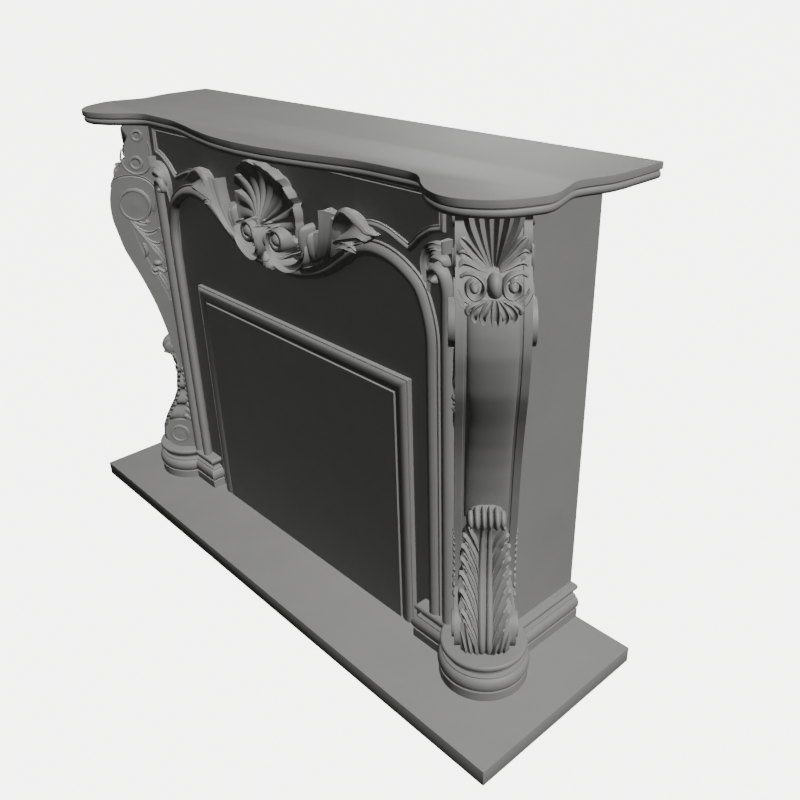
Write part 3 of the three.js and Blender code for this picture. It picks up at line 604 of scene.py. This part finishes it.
# Cartouche under the shell: two coiled scrolls with a boss between them, and acanthus on each side.
# The ribs are given for the right half: across, up, half the width, relief.
cartoucheShape = {
    "volute": {
        "centre": (58, 960), "startAngle": 200, "coil": 0.24, "points": 48,
        # Radius and relief, from the ground up and then in to the middle.
        "drum": [(29, -2), (28.5, 22), (27.8, 40), (26.4, 48), (24.8, 50.6), (23.4, 51.2)],
        "spiral": [(20.5, 51), (18.8, 50), (18, 46.5), (17, 45.5), (16, 47), (13.5, 51), (9, 54),
                   (4.5, 55.5), (0.5, 56)]},
    "scrolls": [
        ("channel", [[139, 963, 3, 30], [139, 943, 6, 34], [127, 921, 8, 37], [102, 904, 9, 39],
                     [72, 896, 9.5, 41], [47, 900, 8.5, 44], [31, 914, 7, 47], [23, 934, 6, 50],
                     [25, 957, 5.5, 51], [35, 974, 4.5, 51], [48, 984, 2.5, 50]]),
        ("gouge", [[29, 958, 2, 48], [32, 941, 3, 48], [48, 928, 3.6, 47], [72, 931, 4, 46],
                   [101, 943, 4, 45], [130, 958, 3.5, 41]]),
        ("round", [[34, 921, 1.5, 40], [47, 915, 3, 42], [65, 918, 4, 43], [88, 928, 3.5, 42],
                   [106, 938, 1.5, 38]]),
        ("round", [[100, 978, 3, 34], [113, 973, 4.5, 40], [124, 964, 3, 36]]),
    ],
    "curl": [
        ("round", [[139, 1008, 9, 34], [136, 986, 12, 40], [133, 958, 12, 37], [130, 934, 9, 27],
                   [125, 914, 5, 14]]),
        ("round", [[159, 996, 7, 30], [159, 975, 9.5, 35], [155, 950, 9, 30], [146, 929, 7, 21],
                   [134, 912, 4, 12]]),
    ],
    "smallLeaf": ("ridge", [[152, 926, 3, 8], [166, 948, 5, 20], [176, 974, 6.5, 29], [181, 1000, 7, 32]]),
    "tallLeaf": [  # lines from the foot to the tips: across, up, relief
        [[136, 904, 4], [163, 932, 13], [187, 978, 20], [198, 1018, 23], [202, 1051, 25]],
        [[138, 903, 7], [167, 931, 21], [193, 978, 30], [205, 1019, 34], [210, 1056, 37]],
        [[141, 902, 3], [172, 930, 8], [201, 977, 10], [213, 1017, 12], [219, 1052, 14]],
        [[143, 901, 7], [178, 929, 21], [208, 976, 30], [222, 1016, 34], [229, 1059, 38]],
        [[146, 900, 3], [184, 928, 8], [216, 974, 10], [231, 1012, 11], [240, 1047, 13]],
        [[148, 899, 7], [190, 927, 21], [223, 971, 30], [241, 1009, 34], [253, 1047, 37]],
        [[151, 898, 3], [196, 925, 10], [231, 967, 15], [251, 1000, 16], [262, 1034, 16]],
    ],
    "underLeaf": [
        [[104, 900, 24], [150, 914, 23], [205, 941, 21], [250, 969, 19], [290, 992, 15], [318, 1001, 9]],
        [[104, 889, 19], [151, 901, 16], [207, 927, 13], [254, 955, 11], [294, 981, 8], [320, 993, 5]],
        [[106, 875, 2], [154, 887, 1], [212, 912, 1], [262, 942, 1], [300, 969, 1], [324, 986, 1]],
    ],
    "curledLeaf": [
        [[170, 911, 5], [203, 934, 14], [228, 972, 22], [243, 1024, 27], [260, 1056, 29], [284, 1072, 30],
         [309, 1067, 30], [334, 1053, 29], [356, 1036, 27], [374, 1030, 20]],
        [[172, 910, 7], [206, 933, 17], [232, 971, 26], [248, 1019, 32], [266, 1048, 35], [286, 1062, 36],
         [306, 1058, 36], [329, 1045, 34], [350, 1031, 30], [367, 1027, 21]],
        [[174, 909, 4], [209, 931, 10], [237, 970, 13], [256, 1012, 14], [275, 1037, 13], [292, 1049, 12],
         [307, 1047, 12], [324, 1039, 12], [342, 1029, 14], [359, 1024, 16]],
        [[176, 908, 3], [210, 930, 8], [236, 974, 9], [260, 1008, 8], [284, 1028, 7], [302, 1037, 7],
         [316, 1035, 7], [330, 1030, 8], [343, 1024, 10], [354, 1019, 13]],
        [[178, 907, 4], [206, 933, 10], [226, 975, 14], [250, 1003, 16], [277, 1016, 17], [298, 1023, 17],
         [314, 1024, 17], [326, 1023, 18], [337, 1020, 19], [347, 1015, 18]],
        [[180, 906, 7], [205, 935, 16], [223, 972, 23], [248, 995, 27], [276, 1005, 29], [300, 1012, 30],
         [317, 1017, 30], [328, 1018, 29], [336, 1015, 27], [342, 1010, 21]],
        [[182, 905, 4], [206, 932, 11], [226, 967, 17], [250, 989, 20], [278, 998, 22], [300, 1004, 23],
         [314, 1009, 23], [324, 1010, 23], [330, 1008, 21], [334, 1004, 17]],
    ],
    "lowerLeaf": [
        ("gouge", [[188, 930, 3, 6], [214, 962, 6, 13], [238, 980, 8, 18], [264, 987, 8, 21],
                   [288, 986, 7, 21], [306, 979, 3, 16]]),
        ("ridge", [[196, 922, 3, 5], [226, 952, 6, 12], [256, 968, 6, 15], [284, 970, 4, 13]]),
    ],
    "leafEdge": 11,  # how thick the rim of a leaf stands before it is cut away beneath
    "beads": [(0, 1001), (15, 1000), (31, 997), (47, 990), (0, 984), (15, 981), (30, 975)],
    "beadSize": (7, 4.4, 52),
    "pendants": [
        {"top": 924, "length": 47, "lobes": 7, "spread": 92, "halfWidth": 4.8, "relief": 44},
        {"top": 924, "length": 29, "lobes": 5, "spread": 80, "halfWidth": 4.4, "relief": 49}],
    # Share of its length, share of its width, and how far it drops back.
    "pendantRib": ((0.1, 0.5, 5), (0.5, 0.8, 1), (0.82, 1, 0), (1, 0.8, 6)),
    "pendantSides": 0.12,  # how much shorter its side lobes are
    "boss": (0, 945, 21, 28, 44),
}


def addBothSides(carving, ribs, ends=(1, 1)):
    for section, stations in ribs:
        carving.addRib(stations, frontDepth, section, roundEnds=ends)
        carving.addRib(mirrorStations(stations), frontDepth, section, roundEnds=ends)


def addVolute(carving, mirror):  # a drum whose face winds inwards, so that one turn ends in a step
    volute = cartoucheShape["volute"]
    x, z = volute["centre"]
    points = volute["points"]
    rings = []
    for part, coil in (("drum", 0), ("spiral", volute["coil"])):
        for radius, relief in volute[part]:
            ring = []
            for k in range(points):
                turn = math.radians(volute["startAngle"] - 360 / points * k)
                reach = radius * (1 - coil * k / (points - 1))
                ring.append((mirror * (x + reach * math.cos(turn)), z + reach * math.sin(turn),
                             frontDepth + relief))
            rings.append(ring)
    carving.addRings(rings)


def addPendant(carving, fan):
    for i in range(fan["lobes"]):
        angle = math.radians(fan["spread"] * (i / (fan["lobes"] - 1) - 0.5))
        length = fan["length"] * (1 - cartoucheShape["pendantSides"] * abs(math.sin(angle)))
        carving.addRib([[length * share * math.sin(angle), fan["top"] - length * share * math.cos(angle),
                         fan["halfWidth"] * wide, fan["relief"] - drop]
                        for share, wide, drop in cartoucheShape["pendantRib"]], frontDepth)


def makeCartouche():
    carving = Carving()
    shape = cartoucheShape
    addShell(carving)
    addBothSides(carving, shape["scrolls"] + shape["curl"] + shape["lowerLeaf"])
    addBothSides(carving, [shape["smallLeaf"]], (1, 0))
    for mirror in (1, -1):
        addVolute(carving, mirror)
        for leaf in (shape["tallLeaf"], shape["curledLeaf"], shape["underLeaf"]):
            carving.addBlade([[[mirror * x, *rest] for x, *rest in line] for line in leaf], frontDepth,
                             shape["leafEdge"])
        for x, z in shape["beads"]:
            if x or mirror > 0:
                carving.addEgg(mirror * x, z, frontDepth, *shape["beadSize"], 14, 6)
    for fan in shape["pendants"]:
        addPendant(carving, fan)
    x, z, *size = shape["boss"]
    carving.addEgg(x, z, frontDepth, *size)
    return carving.makeObject("shellCartouche", 42)


finishPiece(makeCartouche(), carvedStone)

# Consoles: a scrolled bracket across each canted corner

consoleShape = {
    "halfWidth": 67.8,
    "band": 16,
    "back": 632.8,
    "footVolute": (682.5, 48.5),
    "footArc": (-90, 205, 24),  # first angle, sweep and steps
    "edge": [
        [646, 247], [643, 320], [645, 376], [649, 410], [654.5, 444], [659, 471], [668.5, 527], [684, 599],
        [699.5, 653], [722, 715], [743, 764], [757, 800], [767, 844], [775, 885], [774.5, 925], [769, 956],
        [757, 989], [741, 1016], [724, 1036], [711, 1048], [706, 1056], [709, 1064], [709, 1078],
        [704, 1092], [697, 1104], [693, 1112], [698, 1119], [703, 1128], [704, 1147]],
    "fieldDrop": 9,
    "swell": {"from": 455, "to": 990, "halfWidth": 48, "relief": 12, "steps": 44},
    "sideField": {"drop": 6, "margin": 48, "foot": 640, "head": 880, "back": 641, "steps": 20},
    "sideScroll": (697, 940, 60),
    "discs": [(667, 1112, 17, 5), (681, 1039, 20, 5), (701, 925, 45.9, 12.7), (682.5, 187, 30, 6)],
    # How far the disc's edge stands from its face and from its radius.
    "discEdge": [(-1.5, 0), (-0.4, -0.5), (0, -1.6), (0, -6), (-2, -8)],
    "sideLines": [  # reach, up, half the width, relief
        ("gouge", [[756, 990, 2, 2], [734, 1001, 3.5, 3], [704, 1005, 4, 3], [672, 1000, 4, 3],
                   [648, 984, 4, 3], [637, 958, 4, 3], [640, 926, 4, 3], [656, 901, 3, 2]]),
        ("round", [[716, 1078, 2, 2], [722, 1050, 3, 3], [712, 1024, 3.5, 3], [690, 1010, 3.5, 3],
                   [664, 1012, 3.5, 3], [644, 1030, 3, 3], [638, 1060, 2.5, 2], [640, 1100, 2, 2]]),
    ],
    "leafSides": {  # the fronds of the foot leaf, wrapped round the side
        "heights": (418, 401, 384, 367, 350, 332, 313, 293, 272, 250), "from": 640, "margin": 3,
        "halfWidth": 7.5, "relief": 4, "flareBelow": 320, "flare": 0.3},
    "spray": [
        ("round", [[735, 901, 2, 6], [719, 869, 4, 9], [700, 839, 4, 9], [681, 815, 4, 9],
                   [661, 796, 3.5, 8], [649, 774, 2, 6]]),
        ("gouge", [[728, 892, 2, 5], [713, 878, 4, 9], [698, 872, 5, 10], [684, 868, 4, 9],
                   [675, 873, 4, 9], [681, 880, 2, 7]]),
        ("gouge", [[722, 874, 2, 5], [705, 853, 4, 9], [684, 842, 6, 10], [661, 845, 5, 10],
                   [645, 856, 3, 8]]),
        ("gouge", [[703, 846, 2, 5], [685, 823, 4, 9], [665, 810, 6, 10], [649, 811, 4, 9],
                   [644, 822, 2, 7]]),
        ("gouge", [[690, 826, 2, 5], [672, 801, 4, 9], [656, 781, 5, 10], [646, 757, 3, 8]]),
        ("leaf", [[700, 814, 3, 6], [696, 799, 6, 9], [694, 785, 6, 9], [699, 773, 4, 8],
                  [705, 767, 2, 5]]),
        ("round", [[672, 742, 3, 7], [658, 730, 4, 9], [647, 728, 4, 9], [644, 740, 3, 8]]),
        ("gouge", [[668, 724, 3, 7], [656, 704, 5, 9], [650, 688, 4, 9], [645, 668, 2, 6]]),
        ("round", [[686, 744, 4, 7], [690, 732, 4, 9], [682, 720, 4, 9], [670, 720, 3, 8]]),
    ],
    "sprayBuds": [(668, 752, 13, 9, 12), (677, 732, 8, 7, 12)],
    "palmetteBase": 700,
    "palmette": [
        ("fold", [[2, 1036, 2.5, 34], [4, 1056, 4, 25], [6.5, 1086, 6.5, 20], [8.5, 1116, 8.5, 18],
                  [9, 1145, 9, 17]]),
        ("fold", [[4, 1036, 2.5, 34], [11, 1057, 4.5, 25], [19, 1085, 7, 21], [25.5, 1114, 9, 19],
                  [28, 1145, 9.5, 17]]),
        ("fold", [[6, 1036, 2.5, 33], [18, 1056, 5.5, 25], [31, 1082, 8.5, 21], [41, 1108, 10, 19],
                  [47, 1138, 9.5, 16]]),
        ("gouge", [[8, 1034, 2.5, 33], [23, 1047, 6, 26], [38, 1063, 8, 22], [50, 1077, 8, 19],
                   [60, 1086, 4, 13]]),
        ("gouge", [[9, 1032, 2.5, 33], [25, 1040, 6, 27], [42, 1051, 8, 24], [55, 1058, 7, 20],
                   [63, 1054, 3, 13]]),
        ("round", [[9, 1029, 2.5, 34], [25, 1035, 6, 32], [41, 1042, 8, 27], [54, 1043, 8, 23],
                   [61, 1033, 6, 24], [56, 1023, 3, 22]]),
    ],
    "cabochon": (737, 2, 1007, 15.5, 26, 25),
    "scrollBase": 740,
    "scrolls": [
        ("round", [[60, 1024, 3, 4], [47, 1032, 4, 8], [29, 1029, 5, 16], [17, 1014, 5, 20],
                   [20, 996, 5, 22], [34, 989, 5, 22], [46, 998, 4.5, 19], [47, 1012, 4, 17],
                   [38, 1021, 3.5, 16], [27, 1017, 3, 17]]),
        ("gouge", [[12, 986, 3, 26], [27, 979, 6, 29], [43, 979, 7, 28], [57, 988, 6, 22],
                   [67, 1003, 3, 12]]),
        ("round", [[24, 990, 2, 20], [40, 986, 3, 22], [54, 994, 3, 18], [63, 1008, 2, 10]]),
    ],
    "scrollEye": (34, 1006, 9, 9, 23),
    "leafBase": 764,
    "smallLeaf": [
        ("gouge", [[1, 992, 5, 6], [2, 974, 8, 14], [2, 957, 8, 15], [3, 942, 4, 11]]),
        ("gouge", [[7, 988, 4, 4], [15, 976, 7, 13], [20, 964, 7, 14], [18, 953, 5, 12], [13, 951, 3, 9]]),
        ("gouge", [[13, 986, 4, 2], [28, 977, 7, 10], [35, 966, 7, 11], [33, 956, 5, 9], [28, 954, 3, 7]]),
        ("round", [[22, 985, 3, 2], [39, 981, 5, 6], [47, 972, 5, 7], [45, 963, 4, 6]]),
    ],
    "leaf": [  # height, reach of the middle, half-width
        [496, 684, 14], [491, 688, 25], [484, 691, 33], [474, 693, 37], [463, 692, 37], [453, 689, 34],
        [445, 685, 33], [436, 682, 36], [425, 678, 44], [410, 676, 50], [398, 676, 49], [388, 675, 42],
        [376, 676, 47], [360, 677, 54], [346, 679, 55], [334, 681, 48], [322, 684, 50], [306, 690, 57],
        [292, 696, 58], [280, 703, 51], [268, 709, 54], [252, 719, 59], [238, 726, 58], [226, 732, 52],
        [214, 737, 55], [200, 742, 58], [186, 746, 57], [172, 747, 54], [160, 746, 54], [150, 742, 52],
        [141, 733, 46]],
    "leafCrown": (4, 10, 2.2),  # its middle's set back, its edges' fall and the curve's power
    "midrib": [[7, 456, 5, 4], [8, 400, 6, 6], [9, 320, 7, 7], [9, 240, 8, 8], [8, 180, 8, 8],
               [7, 143, 6, 5]],
    # The lobes of a frond: how far under its tip, the share of its reach, and half the width.
    "fronds": ((0, 1, 6.5), (17, 0.9, 5), (34, 0.76, 4.5)),
    # A lobe from its foot on the stem, in millimetres, and then by shares of its reach and width.
    "frondFoot": (13, -96, 2.5, 1),
    "frondLine": ((0.4, -48, 0.8, 6), (0.68, -14, 1, 9), (0.88, 4, 0.8, 9), (1, 3, 0.35, 7)),
    "frondTips": [(412, 51), (382, 55), (350, 57), (316, 59), (280, 59), (242, 57)],
    "crownTips": ("fold", [[13, 372, 3, 2], [25, 412, 7, 8], [36, 438, 7, 10], [41, 458, 2, 7]]),
    "toes": [(17, 34, 256), (29, 46, 236), (41, 53, 206)],  # across at the foot, across at the top, top
    "knobBase": 680,
    "knob": [(6.8, 476, 8, 27, 33), (21, 475, 9.5, 27, 31), (34, 470, 9, 21, 23), (37, 460, 5, 7, 24)],
}


def footHeight():
    return plinthTop + joint + consoleShape["footVolute"][1]


def edgeReach(z):
    edge = consoleShape["edge"]
    for (lowReach, lowZ), (highReach, highZ) in zip(edge, edge[1:]):
        if z <= highZ:
            return lowReach + (highReach - lowReach) * (z - lowZ) / (highZ - lowZ)
    return edge[-1][0]


def consoleOutline():
    reach, radius = consoleShape["footVolute"]
    fromAngle, sweep, steps = consoleShape["footArc"]
    foot = []
    for step in range(steps + 1):
        angle = math.radians(fromAngle + step * sweep / steps)
        foot.append([reach + radius * math.cos(angle), footHeight() + radius * math.sin(angle)])
    edge = consoleShape["edge"]
    return foot + smoothLine(edge, 4)[1:-1] + [[edge[-1][0], bodyTop - joint]]


def addConsoleBody(carving):
    half = consoleShape["halfWidth"]
    inner = half - consoleShape["band"]
    drop = consoleShape["fieldDrop"]
    back = consoleShape["back"]
    section = [(-half, 0), (-inner - 1, 0), (-inner, 1), (-inner, drop),
               (inner, drop), (inner, 1), (inner + 1, 0), (half, 0)]
    rings = []
    for reach, z in consoleOutline():
        front = [(u, z, max(reach - d, back + 2)) for u, d in section]
        rings.append([(-half, z, back)] + front + [(half, z, back)])
    rings[0] = [(u, plinthTop + joint, reach) for u, _, reach in rings[0]]
    carving.addRings(rings)


def addSwell(carving):
    swell = consoleShape["swell"]
    rings = []
    for step in range(swell["steps"] + 1):
        z = swell["from"] + (swell["to"] - swell["from"]) * step / swell["steps"]
        foot = edgeReach(z) - consoleShape["fieldDrop"] - sink
        rings.append([(swell["halfWidth"] * u, z, foot + (swell["relief"] + sink) * v)
                      for u, v in halfRound(14)])
    carving.addRings(rings)


def addDisc(carving, reach, z, radius, relief, around=40):
    half = consoleShape["halfWidth"]
    face = half + relief
    profile = [(half - 5, radius)]
    profile += [(face + out, radius + wider) for out, wider in consoleShape["discEdge"]]
    profile += [(face - 2.5, radius * 0.4), (face - 1, 0.5)]
    turns = [2 * math.pi * k / around for k in range(around)]
    for side in (1, -1):
        carving.addRings([[(side * out, z + size * math.sin(turn), reach + size * math.cos(turn))
                           for turn in turns] for out, size in profile])


def leafAt(z):
    leaf = consoleShape["leaf"]
    for (highZ, highReach, highHalf), (lowZ, lowReach, lowHalf) in zip(leaf, leaf[1:]):
        if z >= lowZ:
            share = (z - lowZ) / (highZ - lowZ)
            return lowReach + (highReach - lowReach) * share, lowHalf + (highHalf - lowHalf) * share
    return leaf[-1][1:]


def leafCrown(u):  # how far the leaf lies behind its middle line, at a share of its half-width
    setBack, fall, power = consoleShape["leafCrown"]
    return setBack + fall * min(abs(u), 1) ** power


def onLeaf(x, z):
    reach, halfWidth = leafAt(z)
    return reach - leafCrown(x / halfWidth)


def addFootLeaf(carving):
    shape = consoleShape
    behind = shape["back"] + 2
    shares = [step / 7 - 1 for step in range(15)]
    carving.addRings([[(-halfWidth, z, behind)] + [(u * halfWidth, z, reach - leafCrown(u)) for u in shares]
                      + [(halfWidth, z, behind)] for z, reach, halfWidth in smoothLine(shape["leaf"], 3)])
    for turn in (1, -1):
        ribs = [("round", shape["midrib"]), shape["crownTips"]]
        for height, reach in shape["frondTips"]:  # each rises from the stem, arches over and hangs
            for lower, share, halfWidth in shape["fronds"]:
                x, up, thin, relief = shape["frondFoot"]
                line = [[x, height - lower + up, thin, relief]]
                for out, up, wide, relief in shape["frondLine"]:
                    line.append([reach * share * out, height - lower + up, halfWidth * wide, relief])
                ribs.append(("fold", line))
        for low, high, top in shape["toes"]:
            between = low * 0.7 + high * 0.3
            ribs.append(("fold", [[low, 143, 6, 7], [between, 168, 6, 8], [high, top, 3, 3]]))
        for section, line in ribs:
            carving.addRib([[turn * x, *rest] for x, *rest in line], onLeaf, section, 6)
        for x, z, *size in shape["knob"]:
            carving.addEgg(turn * x, z, shape["knobBase"], *size)


def addMirrored(carving, ribs, ground):  # a rib that ends near the middle is added only once
    for section, stations in ribs:
        carving.addRib(stations, ground, section)
        if stations[-1][0] > 5:
            carving.addRib(mirrorStations(stations), ground, section)


def addSideRelief(carving, turn):
    shape = consoleShape
    ground = shape["sideField"]["drop"]
    face = shape["halfWidth"] - ground
    side = Carving(lambda reach, z, out: carving.place(turn * (face + out), z, reach))
    for section, stations in shape["sideLines"]:
        side.addRib(stations, ground, section, 5)
    wrap = shape["leafSides"]
    for z in wrap["heights"]:
        tip = edgeReach(z) - wrap["margin"] + max(0, (wrap["flareBelow"] - z) * wrap["flare"])
        side.addRib([[wrap["from"], z - 16, 3, 1],
                     [(wrap["from"] + tip) / 2, z - 3, wrap["halfWidth"], wrap["relief"]],
                     [tip, z, wrap["halfWidth"], wrap["relief"]]], ground, "round", 4)
    for section, stations in shape["spray"]:
        side.addRib(stations, 0, section, 5)
    for reach, z, *size in shape["sprayBuds"]:
        side.addEgg(reach, z, 0, *size, 16, 6)
    carving.join(side)


def cutSideFields(block, place):
    field = consoleShape["sideField"]
    half = consoleShape["halfWidth"]
    outline = [(field["back"], field["foot"])]
    for step in range(field["steps"] + 1):
        z = field["foot"] + (field["head"] - field["foot"]) * step / field["steps"]
        outline.append((edgeReach(z) - field["margin"], z))
    reach, z, radius = consoleShape["sideScroll"]
    for degrees in range(-60, -141, -10):
        angle = math.radians(degrees)
        outline.append((reach + radius * math.cos(angle), z + radius * math.sin(angle)))
    outline.append((field["back"], z - radius * 0.5))
    for turn in (1, -1):
        cutter = Carving(place)
        cutter.addRings([[(turn * (half + out), z, reach) for reach, z in outline]
                         for out in (-field["drop"], field["drop"])])
        tool = cutter.makeObject("fieldCutter")
        cut = block.modifiers.new("sunk field", "BOOLEAN")
        cut.operation = "DIFFERENCE"
        cut.solver = "EXACT"
        cut.object = tool
        bpy.context.view_layer.objects.active = block
        bpy.ops.object.modifier_apply(modifier=cut.name)
        bpy.data.objects.remove(tool)
    smoothByAngle(block, 25)


def makeConsole(side, place):
    body = Carving(place)
    addConsoleBody(body)
    block = body.makeObject("console" + side, 32)
    cutSideFields(block, place)
    return block


def makeConsoleCarving(side, place):
    shape = consoleShape
    carving = Carving(place)
    addSwell(carving)
    for disc in shape["discs"]:
        addDisc(carving, *disc)
    addFootLeaf(carving)
    addMirrored(carving, shape["palmette"], shape["palmetteBase"])
    addMirrored(carving, shape["scrolls"], shape["scrollBase"])
    addMirrored(carving, shape["smallLeaf"], shape["leafBase"])
    x, z, *size = shape["scrollEye"]
    for turn in (1, -1):
        addSideRelief(carving, turn)
        carving.addEgg(turn * x, z, shape["scrollBase"], *size)
    reach, x, z, *size = shape["cabochon"]
    carving.addEgg(x, z, reach, *size)
    return carving.makeObject("consoleCarving" + side, 42)


for side, place in (("Right", onCorner), ("Left", onCornerLeft)):
    finishPiece(makeConsole(side, place), carvedStone, "console_" + side.lower())
    finishPiece(makeConsoleCarving(side, place), carvedStone)

# Floor, light and camera

stageLook = {
    "floor": "#f6f6f4", "floorGlow": 4, "floorSize": 400, "sky": "#ffffff", "skyStrength": 0.1,
    "key": {"towards": (0.60, -0.06, 0.79), "strength": 9},  # it only grazes the front, which stays dark
    "fill": {"towards": (-0.55, 0.75, 0.35), "strength": 0.9},  # from behind on the left
}

bpy.ops.mesh.primitive_plane_add(size=stageLook["floorSize"], location=(0, 0, 0))
floor = bpy.context.object
floor.name = "floor"
floorPaint = bpy.data.materials.new("paleFloor")
floorPaint.use_nodes = True
paintInputs = floorPaint.node_tree.nodes["Principled BSDF"].inputs
paintInputs["Base Color"].default_value = linear(stageLook["floor"])
paintInputs["Roughness"].default_value = 0.9
paintInputs["Emission Color"].default_value = linear(stageLook["floor"])
paintInputs["Emission Strength"].default_value = stageLook["floorGlow"]
floor.data.materials.append(floorPaint)
floor.visible_diffuse = False  # so the pale floor throws no light up under the mouldings
floor.visible_glossy = False

world = bpy.data.worlds.new("studio")
world.use_nodes = True
world.node_tree.nodes["Background"].inputs["Color"].default_value = linear(stageLook["sky"])
world.node_tree.nodes["Background"].inputs["Strength"].default_value = stageLook["skyStrength"]
bpy.context.scene.world = world

for name in ("key", "fill"):
    towards = Vector(stageLook[name]["towards"])
    bpy.ops.object.light_add(type="SUN", location=towards * 5)
    sun = bpy.context.object
    sun.name = name
    sun.data.energy = stageLook[name]["strength"]
    sun.data.use_shadow = False  # the drawing's light reaches under the shelf as well
    sun.rotation_euler = towards.to_track_quat("Z", "Y").to_euler()
print("floor and light set")

# Its place in millimetres, its turns in degrees: the photograph's own view.
cameraLook = {"across": 1650.9, "depth": 1417.4, "up": 1528.9, "azimuth": 48.4258, "elevation": 27.4782,
              "roll": -1.7782, "lens": 38.603}

bpy.ops.object.camera_add(location=onFront(cameraLook["across"], cameraLook["up"], cameraLook["depth"]))
camera = bpy.context.object
camera.data.lens = cameraLook["lens"]
camera.data.sensor_width = 36
turn = Matrix.Rotation(math.radians(cameraLook["azimuth"]), 4, "Z")
tilt = Matrix.Rotation(math.radians(90 - cameraLook["elevation"]), 4, "X")
roll = Matrix.Rotation(math.radians(cameraLook["roll"]), 4, "Z")
camera.rotation_euler = (turn @ tilt @ roll).to_euler()
bpy.context.scene.camera = camera
print("camera set")
